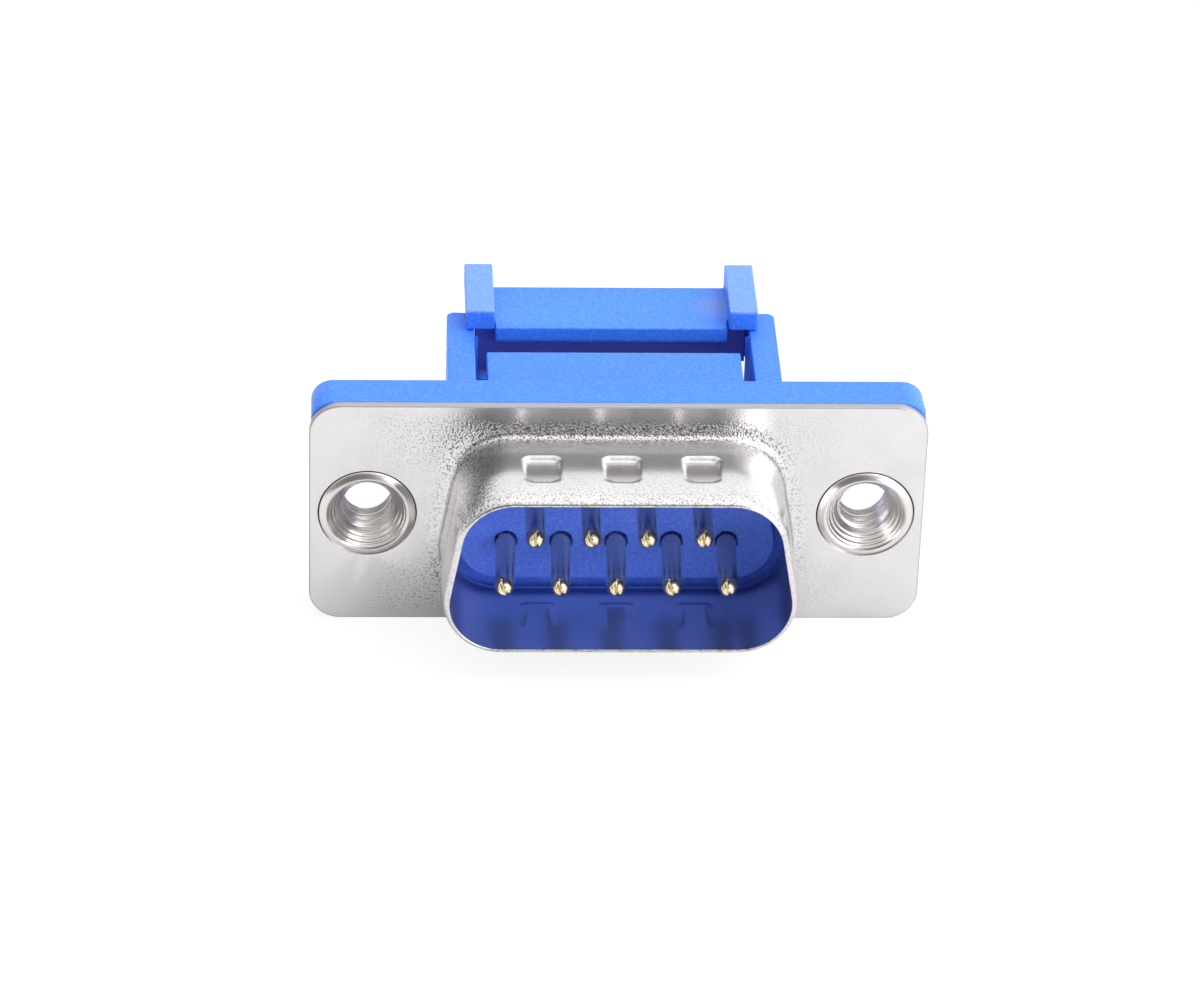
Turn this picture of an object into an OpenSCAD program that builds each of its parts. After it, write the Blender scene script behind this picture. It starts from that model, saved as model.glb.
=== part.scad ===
// Nine-way ribbon-cable D-sub plug: drawn metal shell, moulded insulator, nine contacts with
// insulation-displacement forks, two hollow rivets with a thread, and the sliding cable cover.
// Millimetres. X runs along the connector, Y from the mating side (-) to the cable side (+), Z up.
// The origin is the middle of the flange's front face. The wide side of the D faces down.

/* [Flange] */
// Length of the flange
flange_w = 30.81; // [28:0.01:36]
// Height of the flange
flange_h = 12.55; // [12:0.01:15]
// Corner radius of the metal flange
flange_r = 1.6; // [0.5:0.1:2.2]
// Sheet thickness of the shell
sheet_t = 0.4; // [0.25:0.05:0.5]
// Thickness of the plastic flange behind the metal one
plastic_t = 2.17; // [1.8:0.01:3]
// How far the ends of the plastic flange lie inside the metal one's
plastic_in = 0.1; // [0:0.05:0.3]
// Corner radius of the plastic flange
plastic_r = 1.1; // [0.4:0.1:2]
// Distance from the centre of a screw hole to the end of the flange
hole_edge = 2.91; // [2.8:0.01:3.3]

/* [Shell] */
// Distance from the centre of a screw hole to the inside of the D's wide side
d_edge = 4.035; // [3.9:0.005:4.3]
// Height inside the D
d_h = 8.36; // [8:0.01:8.6]
// Lean of the two short sides of the D, in degrees
d_lean = 10; // [6:1:12]
// Corner radius inside the D
d_r = 2.6; // [1.8:0.1:3]
// How far the rim stands in front of the flange
shell_len = 6.0; // [5.4:0.1:6.6]
// Bend radius on the outside of the shell's root
root_r = 0.5; // [0.3:0.05:0.7]
// How far back the rounding of the rim reaches
rim_l = 0.75; // [0.3:0.05:1]

/* [Dimples] */
// Distance between neighbouring dimples
dimple_pitch = 3.94; // [3:0.01:4.2]
// Length of a dimple along X
dimple_w = 1.85; // [1.2:0.05:2.2]
// Length of a dimple along Y
dimple_l = 2.65; // [1.6:0.05:3]
// Depth that a dimple is pressed in at its deep end, near the flange
dimple_depth = 0.3; // [0.15:0.05:0.35]
// Width of a dimple's sloping walls
dimple_slope = 0.3; // [0.15:0.05:0.45]
// Distance from the flange's face to a dimple
dimple_y = 1.75; // [1.4:0.05:2.2]

/* [Insulator] */
// How far the pin field stands in front of the flange's face
spigot_out = 0.3; // [0.1:0.05:0.6]
// Groove between the pin field and the shell
spigot_gap = 0.5; // [0.35:0.05:0.7]
// Half width of the middle block
block_x = 6.45; // [6.35:0.05:6.6]
// Half height of the middle block and of the posts
block_z = 5.1; // [4.8:0.05:5.5]
// Rear face of the middle block, from the flange's face
block_y = 7.25; // [6.8:0.05:7.6]
// Width of the open slot between the middle block and a post
slot_w = 0.58; // [0.5:0.01:0.7]
// Thickness of a post
post_t = 1.37; // [1.2:0.01:1.6]
// Rear end of a post, from the flange's face
post_y = 11.15; // [10.9:0.05:11.8]
// Rounding of a post's rear corners
post_r = 0.45; // [0.2:0.05:0.6]

/* [Contacts] */
// Distance between neighbouring pins of one row
pin_pitch = 2.77; // [2.6:0.01:2.8]
// Distance between the two rows of pins
row_pitch = 2.84; // [2.6:0.01:3]
// Diameter of a pin
pin_d = 1.0; // [0.9:0.02:1.04]
// How far a pin's tip stands in front of the flange's face
pin_out = 5.05; // [4.6:0.05:5.4]
// Length of a pin's rounded nose
pin_nose = 0.65; // [0.3:0.05:0.9]
// Distance between neighbouring wires of the ribbon
wire_pitch = 1.27; // [1.2:0.01:1.3]
// Thickness of the contact strip
strip_t = 0.3; // [0.2:0.05:0.4]
// Width of the contact strip
strip_w = 1.1; // [0.9:0.05:1.2]
// Width of the slot in a fork
fork_slot = 0.26; // [0.18:0.02:0.34]
// Depth of the slot in a fork
fork_depth = 1.35; // [1.1:0.05:1.6]
// How far a fork stands behind the middle block
fork_out = 1.5; // [1.3:0.05:1.7]

/* [Inserts] */
// Inner radius of the threaded bore
bore_r = 1.2; // [1.1:0.05:1.3]
// Outer radius of the rivet's barrel
barrel_r = 1.9; // [1.75:0.05:2.05]
// Radius of the flare, level with the flange's face
flare_r = 2.43; // [2.3:0.01:2.6]
// How far the flare's round bead stands in front of the flange
flare_out = 0.18; // [0.1:0.02:0.24]
// Radius inside the bead, where the mouth begins
mouth_r = 1.88; // [1.8:0.01:2]
// Radius of the throat, where the thread begins
throat_r = 1.55; // [1.5:0.01:1.6]
// Depth of the throat behind the flange's face
throat_depth = 0.5; // [0.4:0.02:0.6]
// Radius of the rivet's rear collar
collar_r = 2.35; // [2.25:0.05:2.6]
// Thickness of the rivet's rear collar
collar_t = 0.55; // [0.4:0.05:0.8]

/* [Cover] */
// Open gap for the cable between the middle block and the cover's lip
cable_gap = 2.35; // [2.1:0.05:2.5]
// Thickness of the ribbon that the closed cover holds
ribbon_t = 0.9; // [0.8:0.05:1.1]
// Depth of the cover's bar along Y
bar_depth = 4.2; // [3.8:0.05:4.8]
// Half width of the bar between the ears
bar_x = 5.95; // [5.9:0.05:6.1]
// Height of the lip along the bar's top and bottom edge
lip_h = 0.76; // [0.5:0.02:1]
// How far the cable face lies behind the lip
lip_t = 0.4; // [0.25:0.05:0.5]
// How far the end blocks lie behind the lip
end_back = 0.9; // [0.6:0.05:1.1]
// Half height of the grooved comb between the lips
comb_z = 3.1; // [2.6:0.05:3.2]
// How far the face behind the lips lies behind the comb's face
comb_t = 0.6; // [0.55:0.05:0.8]
// Sliding clearance between the cover's guides and the posts
slide_gap = 0.08; // [0.06:0.02:0.12]
// Width of an ear along X
ear_w = 1.45; // [1.3:0.05:1.6]
// How far an ear stands in front of the lip
ear_front = 0.3; // [0.1:0.05:0.4]
// How far an ear stands behind the bar
ear_back = 0.35; // [0.1:0.05:0.6]

/* [Latch] */
// Half height of the windows in the posts
window_z = 0.8; // [0.6:0.05:1]
// Thickness of the post behind its window
window_end = 0.55; // [0.4:0.05:0.6]
// Length of a latch barb along Y
barb_l = 0.9; // [0.7:0.05:1]
// How far a barb reaches into its window
barb_out = 0.75; // [0.5:0.05:0.85]
// Half height of the latch arms
arm_z = 2.1; // [1.6:0.1:2.4]
// Room between a latch arm and its post, in which the arm bends
arm_gap = 0.25; // [0.2:0.01:0.3]

/* [Hidden] */
$fn = 64;
// A length that carries a cut clear through a face
over = 1;
// Running and seating clearances: pressed-in pieces, barb in its window, arm beside a guide, fork in
// its pocket, and ear above the middle block
fit = 0.03;
latch_gap = 0.12;
guide_gap = 0.38;
pocket_gap = 0.2;
ear_gap = 0.08;
// How far the bent root runs into the flat flange, and how deep it is buried there
foot_lap = 0.15;
foot_bury = 0.03;
// Angle at which the bend meets the flat flange
bend_end = 94;
// How far one piece of a solid runs into the next
lap = 0.3;
ways = 9;
long_row = 5;

// The screw holes keep their distance from the flange's ends, and the D from the holes
hole_pitch = flange_w - 2 * hole_edge;
d_w = hole_pitch - 2 * d_edge;

// Depths of the main faces behind the flange's front face
plastic_y = sheet_t + plastic_t;
lip_y = block_y + cable_gap;
face_y = lip_y + lip_t;
back_y = face_y + comb_t;
end_y = lip_y + end_back;
bar_y = lip_y + bar_depth;
travel = cable_gap - ribbon_t;

// Posts, cover ends and latch
post_in = block_x + slot_w;
post_out = post_in + post_t;
end_x = post_in - slide_gap;
arm_x = post_in - arm_gap;
guide_z = arm_z + latch_gap + guide_gap;
window_y1 = post_y - window_end;
barb_y1 = window_y1 - latch_gap;
barb_y0 = barb_y1 - barb_l;
window_y0 = barb_y0 - travel - latch_gap;
arm_t = 0.55;
barb_flat = 0.3;
ear_step = 0.05;
ear_in = bar_x + ear_step;

// Contacts
pin_r = pin_d / 2;
row_z = row_pitch / 2;
seat_t = 0.6;
pin_back = plastic_y - seat_t;
pin_end = pin_back + strip_t;
recess_gap = 0.1;
recess_r = pin_r + recess_gap;
recess_depth = 0.25;
jog_in = 0.8;
jog_out = 1.6;
jog_y0 = plastic_y + jog_in;
jog_y1 = block_y - jog_out;
fork_nose = 0.3;
slot_clear = 0.06;

// Colours
nickel = "gainsboro";
blue = "royalblue";
gold = "goldenrod";

// Place of a contact: cavities 1 to 5 run from +X to -X in the lower row, 6 to 9 in the upper row
function pin_x(n) = n <= long_row
    ? ((long_row + 1) / 2 - n) * pin_pitch
    : ((ways + long_row + 1) / 2 - n) * pin_pitch;
function pin_z(n) = n <= long_row ? -row_z : row_z;
// The ribbon's wires take the contacts of the two rows by turns: 1, 6, 2, 7 and so on
function wire(n) = n <= long_row ? 2 * (n - 1) : 2 * (n - long_row) - 1;
function fork_x(n) = ((ways - 1) / 2 - wire(n)) * wire_pitch;

// Centres of the D's corner arcs, anticlockwise from the lower right one. Every D here, inside,
// outside or set back, has these centres, and only its radius grows or shrinks.
function d_corner(side, level) =
    let (low_x = d_w / 2 - d_r, rise = d_h - 2 * d_r)
    [side * (low_x - (level + 1) / 2 * rise * tan(d_lean)), level * rise / 2];
function d_corners() = [d_corner(1, -1), d_corner(1, 1), d_corner(-1, 1), d_corner(-1, -1)];
// Angle where each corner's arc starts, and how far it turns
D_START = [-90, d_lean, 90, 180 - d_lean];
D_TURN = [90 + d_lean, 90 - d_lean, 90 - d_lean, 90 + d_lean];

// Points of an arc
function arc(cx, cy, r, a0, a1, steps = 8) =
    [for (i = [0:steps]) let (a = a0 + (a1 - a0) * i / steps) [cx + r * cos(a), cy + r * sin(a)]];

// Points of a quarter or more of an ellipse with its own reach each way
function oval(cx, cy, rx, ry, a0, a1, steps = 6) =
    [for (i = [0:steps]) let (a = a0 + (a1 - a0) * i / steps) [cx + rx * cos(a), cy + ry * sin(a)]];

// Draws children in the XZ plane and extrudes them from y0 to y1
module along_y(y0, y1) {
    translate([0, y1, 0]) rotate([90, 0, 0]) linear_extrude(y1 - y0) children();
}

// A cylinder along Y
module rod(x, z, r, y0, y1) {
    translate([x, y1, z]) rotate([90, 0, 0]) cylinder(r = r, h = y1 - y0);
}

// The flange's conical hole, which the rivet's flare fills
module countersink(x) {
    lean = (flare_r - barrel_r) / sheet_t;
    translate([x, sheet_t + over / 2, 0]) rotate([90, 0, 0])
        cylinder(r1 = barrel_r + fit - lean * over / 2, r2 = flare_r + fit + lean * over / 2,
            h = sheet_t + over);
}

// A box from its lowest to its highest corner
module block(a, b) {
    translate(a) cube(b - a);
}

// A plate with rounded corners, from y0 to y1
module rounded_plate(w, h, r, y0, y1) {
    block([-w / 2 + r, y0, -h / 2], [w / 2 - r, y1, h / 2]);
    block([-w / 2, y0, -h / 2 + r], [w / 2, y1, h / 2 - r]);
    for (sx = [-1, 1], sz = [-1, 1]) rod(sx * (w / 2 - r), sz * (h / 2 - r), r, y0, y1);
}

// A solid D whose wall lies grow outside the shell's inner wall
module d_solid(grow, y0, y1) {
    r = d_r + grow;
    centres = d_corners();
    for (c = centres) rod(c[0], c[1], r, y0, y1);
    along_y(y0, y1) polygon([for (i = [0:3], end = [0, 1])
        let (a = D_START[i] + end * D_TURN[i]) centres[i] + r * [cos(a), sin(a)]]);
}

// Carries a wall section once round the D. Each point of the section holds its distance from the
// corner centres and its place along Y.
module around_d(section, steps = 10) {
    centres = d_corners();
    ring = [for (i = [0:3], k = [0:steps])
        let (a = D_START[i] + D_TURN[i] * k / steps) [centres[i], [cos(a), sin(a)]]];
    n = len(ring);
    m = len(section);
    polyhedron(
        points = [for (s = ring, q = section) let (c = s[0] + q[0] * s[1]) [c[0], q[1], c[1]]],
        faces = [for (i = [0:n - 1], j = [0:m - 1])
            let (a = i * m, b = (i + 1) % n * m, k = (j + 1) % m) [a + j, b + j, b + k, a + k]]);
}

// Section of the drawn wall, from its root in the flange to its rounded rim
function wall_section() =
    let (inside = d_r, outside = d_r + sheet_t, foot = outside + root_r)
    concat(
        [[foot + foot_lap, sheet_t - foot_bury]],
        arc(foot, -root_r, root_r + sheet_t, bend_end, 180, 6),
        oval(inside, -shell_len + rim_l, sheet_t, rim_l, -90, 0),
        arc(foot, -root_r, root_r, 180, bend_end, 6),
        [[foot + foot_lap, foot_bury]]);

// A wedge for a dimple, w wide at z = depth. Its floor is deepest, at z = 0, near its far edge at
// y = 0, climbs to z = depth at y = -l, and runs on for the length past it. Its top is at z = h.
module dimple_wedge(w, l, depth, h, past) {
    slope = dimple_slope;
    climb = depth / (l - slope);
    lean = slope / depth;
    intersection() {
        rotate([90, 0, 0]) linear_extrude(l + past)
            polygon([[-w / 2 + slope, 0], [w / 2 - slope, 0],
                [w / 2 + lean * (h - depth), h], [-w / 2 - lean * (h - depth), h]]);
        translate([-w, 0, 0]) rotate([90, 0, 90]) linear_extrude(2 * w)
            polygon([[-slope, 0], [lean * (h - depth), h], [-l - past, h],
                [-l - past, min(h, depth + climb * past)]]);
    }
}

// Places children at the dimples of the upper and the lower side, with +Z pointing outwards
module at_dimples() {
    for (i = [-1:1], side = [0, 1])
        rotate([0, side * 180, 0]) translate([i * dimple_pitch, -dimple_y, 0]) children();
}

// Drawn steel shell: flange, D shroud with a bent root, and pressed dimples
module front_shell() {
    opening = sheet_t + root_r - foot_lap / 2;
    color(nickel) difference() {
        union() {
            difference() {
                rounded_plate(flange_w, flange_h, flange_r, 0, sheet_t);
                d_solid(opening, -over, sheet_t + over);
            }
            around_d(wall_section());
            at_dimples() translate([0, 0, d_h / 2 - dimple_depth])
                dimple_wedge(dimple_w, dimple_l, dimple_depth, dimple_depth + sheet_t / 2, sheet_t);
        }
        at_dimples() translate([0, 0, d_h / 2 + sheet_t - dimple_depth])
            dimple_wedge(dimple_w, dimple_l, dimple_depth, dimple_depth + sheet_t, sheet_t);
        for (s = [-1, 1]) countersink(s * hole_pitch / 2);
    }
}

// Cavity that a contact slides into: pin hole, recess in the front, and strip chamber
module cavity(n) {
    x0 = min(pin_x(n), fork_x(n)) - strip_w / 2 - slot_clear;
    x1 = max(pin_x(n), fork_x(n)) + strip_w / 2 + slot_clear;
    z = pin_z(n);
    half = strip_t / 2 + slot_clear;
    rod(pin_x(n), z, recess_r, -spigot_out - over, -spigot_out + recess_depth);
    rod(pin_x(n), z, pin_r + fit, -spigot_out - over, pin_end + fit);
    block([x0, pin_back, z - half], [x1, block_y + over, z + half]);
}

// Guide post with its latch window, on the +X side
module post() {
    difference() {
        union() {
            block([post_in, plastic_y - lap, -block_z], [post_out, post_y - post_r, block_z]);
            block([post_in, post_y - post_r - lap, -block_z], [post_out - post_r, post_y, block_z]);
            translate([post_out - post_r, post_y - post_r, -block_z])
                cylinder(r = post_r, h = 2 * block_z);
        }
        block([post_in - over, window_y0, -window_z], [post_out + over, window_y1, window_z]);
    }
}

// Moulded insulator: flange, pin field, middle block and the two posts
module insulator_body() {
    color(blue) difference() {
        union() {
            rounded_plate(flange_w - 2 * plastic_in, flange_h, plastic_r, sheet_t, plastic_y);
            d_solid(-spigot_gap, -spigot_out, sheet_t + over);
            block([-block_x, plastic_y - lap, -block_z], [block_x, block_y, block_z]);
            post();
            mirror([1, 0, 0]) post();
        }
        for (n = [1:ways]) cavity(n);
        for (s = [-1, 1]) {
            rod(s * hole_pitch / 2, 0, barrel_r + fit, -over, plastic_y + over);
            rod(s * hole_pitch / 2, 0, collar_r + fit, plastic_y - collar_t, plastic_y + over);
        }
    }
}

// Stamped contact: rolled pin, flat strip that jogs to the wire pitch, and fork
module contact(n) {
    px = pin_x(n);
    fx = fork_x(n);
    hw = strip_w / 2;
    tip = block_y + fork_out;
    nose = fork_nose;
    slot_r = fork_slot / 2;
    color(gold) translate([0, 0, pin_z(n)]) {
        translate([px, 0, 0]) rotate([90, 0, 0]) rotate_extrude()
            polygon(concat([[0, -pin_end], [pin_r, -pin_end]],
                oval(0, pin_out - pin_nose, pin_r, pin_nose, 0, 90)));
        translate([0, 0, -strip_t / 2]) difference() {
            linear_extrude(strip_t) polygon([
                [px - hw, pin_back], [px + hw, pin_back], [px + hw, jog_y0],
                [fx + hw, jog_y1], [fx + hw, tip - nose], [fx + hw - nose / 2, tip],
                [fx, tip - nose], [fx - hw + nose / 2, tip], [fx - hw, tip - nose],
                [fx - hw, jog_y1], [px - hw, jog_y0]]);
            translate([fx, tip - fork_depth, -over]) {
                cylinder(r = slot_r, h = strip_t + 2 * over);
                translate([-slot_r, 0, 0]) cube([fork_slot, fork_depth + over, strip_t + 2 * over]);
            }
        }
    }
}

// Hollow rivet: flare with a round bead, barrel and rear collar, and a mouth that narrows to the
// thread
module threaded_insert(side) {
    bead_x = (flare_r + mouth_r) / 2;
    bead_r = (flare_r - mouth_r) / 2;
    color(nickel) translate([side * hole_pitch / 2, 0, 0]) rotate([90, 0, 0]) rotate_extrude()
        polygon(concat(
            [[bore_r, -plastic_y], [collar_r, -plastic_y], [collar_r, -plastic_y + collar_t],
                [barrel_r, -plastic_y + collar_t], [barrel_r, -sheet_t]],
            oval(bead_x, 0, bead_r, flare_out, 0, 150),
            [[(mouth_r + throat_r) / 2, -throat_depth / 2], [throat_r, -throat_depth],
                [bore_r, -throat_depth - (throat_r - bore_r)]]));
}

// One end of the cover on the +X side: end block with a guide above and below, latch arm with its
// barb between them, and two ears
module cover_end() {
    block([bar_x - lap, end_y, -block_z], [arm_x, bar_y, block_z]);
    block([arm_x - arm_t, barb_y0, -arm_z], [arm_x, end_y + over, arm_z]);
    translate([0, 0, -window_z + latch_gap]) linear_extrude(2 * (window_z - latch_gap))
        polygon([[arm_x - arm_t, barb_y0], [arm_x, barb_y0], [arm_x + barb_out, barb_y1 - barb_flat],
            [arm_x + barb_out, barb_y1], [arm_x - arm_t, barb_y1]]);
    for (s = [-1, 1]) {
        z0 = s > 0 ? block_z + ear_gap : -flange_h / 2;
        z1 = s > 0 ? flange_h / 2 : -block_z - ear_gap;
        g0 = s > 0 ? guide_z : -block_z;
        g1 = s > 0 ? block_z : -guide_z;
        block([arm_x - lap, end_y, g0], [end_x, bar_y, g1]);
        block([ear_in, lip_y - ear_front, z0], [ear_in + ear_w, bar_y + ear_back, z1]);
        block([ear_in, end_y, min(z0, s * (block_z - over))],
            [arm_x, bar_y + ear_back, max(z1, s * (block_z - over))]);
    }
}

// Sliding cover: bar with two lips, a comb of wire grooves with fork pockets between them, and its
// two ends
module cover() {
    groove_r = ribbon_t / 2;
    color(blue) difference() {
        union() {
            block([-bar_x, back_y, -block_z], [bar_x, bar_y, block_z]);
            block([-bar_x, face_y, -comb_z], [bar_x, back_y + lap, comb_z]);
            for (s = [-1, 1]) {
                z0 = s > 0 ? block_z - lip_h : -block_z;
                block([-bar_x, lip_y, z0], [bar_x, back_y + lap, z0 + lip_h]);
            }
            cover_end();
            mirror([1, 0, 0]) cover_end();
        }
        for (n = [1:ways]) {
            w = strip_w / 2 + pocket_gap;
            h = strip_t / 2 + pocket_gap;
            translate([fork_x(n), face_y, -comb_z - over])
                cylinder(r = groove_r, h = 2 * (comb_z + over));
            translate([fork_x(n), 0, pin_z(n)])
                block([-w, face_y - over, -h], [w, face_y + fork_depth, h]);
        }
    }
}

front_shell();
insulator_body();
cover();
threaded_insert(-1);  // threaded_insert_left
threaded_insert(1);  // threaded_insert_right
contact(1);  // contact_1
contact(2);  // contact_2
contact(3);  // contact_3
contact(4);  // contact_4
contact(5);  // contact_5
contact(6);  // contact_6
contact(7);  // contact_7
contact(8);  // contact_8
contact(9);  // contact_9
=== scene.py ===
"""Dresses a nine-way ribbon-cable D-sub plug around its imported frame.

Sizes are in millimetres, and MM turns them to the metres that the frame uses. X runs along the
connector, Y from the mating side (-) to the cable side (+), Z up. The origin is the middle of the
flange's front face.
"""

import logging
import math
from collections.abc import Iterable, Sequence
from dataclasses import dataclass, field
from enum import Enum

import bmesh
import bpy
import numpy as np
from mathutils import Matrix, Vector

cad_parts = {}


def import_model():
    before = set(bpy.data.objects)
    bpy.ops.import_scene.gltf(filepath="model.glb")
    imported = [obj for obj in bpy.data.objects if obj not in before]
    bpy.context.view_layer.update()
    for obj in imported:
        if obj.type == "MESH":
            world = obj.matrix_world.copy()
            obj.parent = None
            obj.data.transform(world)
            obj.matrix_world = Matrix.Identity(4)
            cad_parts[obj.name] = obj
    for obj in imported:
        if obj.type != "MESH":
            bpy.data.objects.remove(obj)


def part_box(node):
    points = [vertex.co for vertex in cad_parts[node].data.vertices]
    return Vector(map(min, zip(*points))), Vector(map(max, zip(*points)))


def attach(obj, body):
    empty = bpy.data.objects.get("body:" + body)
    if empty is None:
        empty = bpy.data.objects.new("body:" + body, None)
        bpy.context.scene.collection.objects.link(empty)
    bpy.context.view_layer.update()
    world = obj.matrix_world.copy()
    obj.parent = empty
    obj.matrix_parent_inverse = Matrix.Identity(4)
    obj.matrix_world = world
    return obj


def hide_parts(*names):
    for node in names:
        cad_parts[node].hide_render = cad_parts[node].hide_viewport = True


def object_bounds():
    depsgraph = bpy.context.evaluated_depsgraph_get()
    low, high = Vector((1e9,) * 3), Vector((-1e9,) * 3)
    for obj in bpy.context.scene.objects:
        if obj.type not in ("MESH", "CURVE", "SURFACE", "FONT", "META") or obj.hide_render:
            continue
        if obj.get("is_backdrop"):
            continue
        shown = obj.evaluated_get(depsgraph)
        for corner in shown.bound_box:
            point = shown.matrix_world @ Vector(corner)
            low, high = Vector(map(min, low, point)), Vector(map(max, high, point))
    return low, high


MM = 0.001
TINY = 1e-6
# Further out than any place on the plug, in millimetres
FAR = 999.0
LOG = logging.getLogger("dsub_plug")

Pair = tuple[float, float]
Triple = tuple[float, float, float]
Socket = bpy.types.NodeSocket
Ring = list[bmesh.types.BMVert]


class Slot(Enum):
    """Material slots of the record."""

    PLATED_STEEL = "plated_steel"
    PLATED_RIVET = "plated_rivet"
    BLUE_BODY = "blue_body"
    BLUE_COVER = "blue_cover"
    CONTACT_ALLOY = "contact_alloy"


class Body(Enum):
    """Bodies that pieces ride on."""

    HOUSING = "housing"
    COVER = "cover"


# ---------------------------------------------------------------- colours and shader nodes


def linear(hex_colour: str) -> tuple[float, float, float, float]:
    """Turns an sRGB hex colour to linear RGBA.

    Args:
        hex_colour: Six hex digits, with or without a leading hash.

    Returns:
        Linear red, green, blue and an alpha of one.
    """
    digits = hex_colour.lstrip("#")
    srgb = [int(digits[i : i + 2], 16) / 255 for i in (0, 2, 4)]
    rgb = [c / 12.92 if c <= 0.04045 else ((c + 0.055) / 1.055) ** 2.4 for c in srgb]
    return (rgb[0], rgb[1], rgb[2], 1.0)


def add_node(
    tree: bpy.types.NodeTree, kind: str, settings: dict | None = None, inputs: dict | None = None
) -> bpy.types.Node:
    """Adds a shader node with its settings, values and links.

    Args:
        tree: The node tree to add to.
        kind: Blender's identifier of the node type.
        settings: Attribute names and values.
        inputs: Input names or indices, each with a plain value or an output socket to link.

    Returns:
        The new node.
    """
    node = tree.nodes.new(kind)
    for key, value in (settings or {}).items():
        setattr(node, key, value)
    for key, value in (inputs or {}).items():
        if isinstance(value, Socket):
            tree.links.new(value, node.inputs[key])
        else:
            node.inputs[key].default_value = value
    return node


def blank_material(name: str) -> tuple[bpy.types.Material, bpy.types.NodeTree]:
    """Makes a material with an empty node tree.

    Args:
        name: Name of the material.

    Returns:
        The material and its node tree.
    """
    material = bpy.data.materials.new(name)
    material.use_nodes = True
    material.node_tree.nodes.clear()
    return material, material.node_tree


def grain(
    tree: bpy.types.NodeTree, size_mm: float, detail: float = 2.0, stretch: Sequence[float] = (1, 1, 1)
) -> Socket:
    """Solid noise with features of a real size.

    Args:
        tree: The node tree.
        size_mm: Size of one feature in millimetres.
        detail: How many finer octaves are laid over it.
        stretch: How much longer a feature is along X, Y and Z.

    Returns:
        The noise's value socket, around one half.
    """
    place = add_node(tree, "ShaderNodeTexCoord")
    squeezed = add_node(tree, "ShaderNodeMapping", {}, {
        "Vector": place.outputs["Object"], "Scale": [1 / s for s in stretch]})
    noise = add_node(tree, "ShaderNodeTexNoise", {"noise_dimensions": "3D"}, {
        "Vector": squeezed.outputs["Vector"], "Scale": 1 / (size_mm * MM), "Detail": detail,
        "Roughness": 0.55})
    return noise.outputs["Fac"]


def overlay(
    tree: bpy.types.NodeTree, under: Sequence[float] | Socket, over: str, pattern: Socket,
    span: Pair = (0.0, 1.0), shares: Pair = (0.0, 1.0),
) -> Socket:
    """Lets a colour show over another one as far as a pattern says.

    Args:
        tree: The node tree.
        under: The linear colour underneath, or its socket.
        over: The sRGB hex colour that shows over it.
        pattern: The value that says where it shows.
        span: Two values of the pattern.
        shares: How much of the upper colour shows at each of them.

    Returns:
        The blended colour's socket.
    """
    share = add_node(tree, "ShaderNodeMapRange", {"clamp": True}, {
        "Value": pattern, "From Min": span[0], "From Max": span[1],
        "To Min": shares[0], "To Max": shares[1]})
    blend = add_node(tree, "ShaderNodeMix", {"data_type": "RGBA"}, {
        0: share.outputs["Result"], 6: under, 7: linear(over)})
    return blend.outputs[2]


def within(tree: bpy.types.NodeTree, place: Socket, low: float, high: float, fade: float) -> Socket:
    """A mask that is 1 between two places along an axis and fades to 0 outside them.

    Args:
        tree: The node tree.
        place: Place along the axis, in metres.
        low: Where the mask starts to be 1, in millimetres.
        high: Where it ends to be 1, in millimetres.
        fade: Width of its fading edges, in millimetres.

    Returns:
        The mask's socket.
    """
    ends = [
        add_node(tree, "ShaderNodeMapRange", {"clamp": True}, {
            "Value": place, "From Min": outer * MM, "From Max": inner * MM}).outputs["Result"]
        for outer, inner in ((low - fade, low), (high + fade, high))
    ]
    both = add_node(tree, "ShaderNodeMath", {"operation": "MULTIPLY"}, {0: ends[0], 1: ends[1]})
    return both.outputs["Value"]


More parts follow.
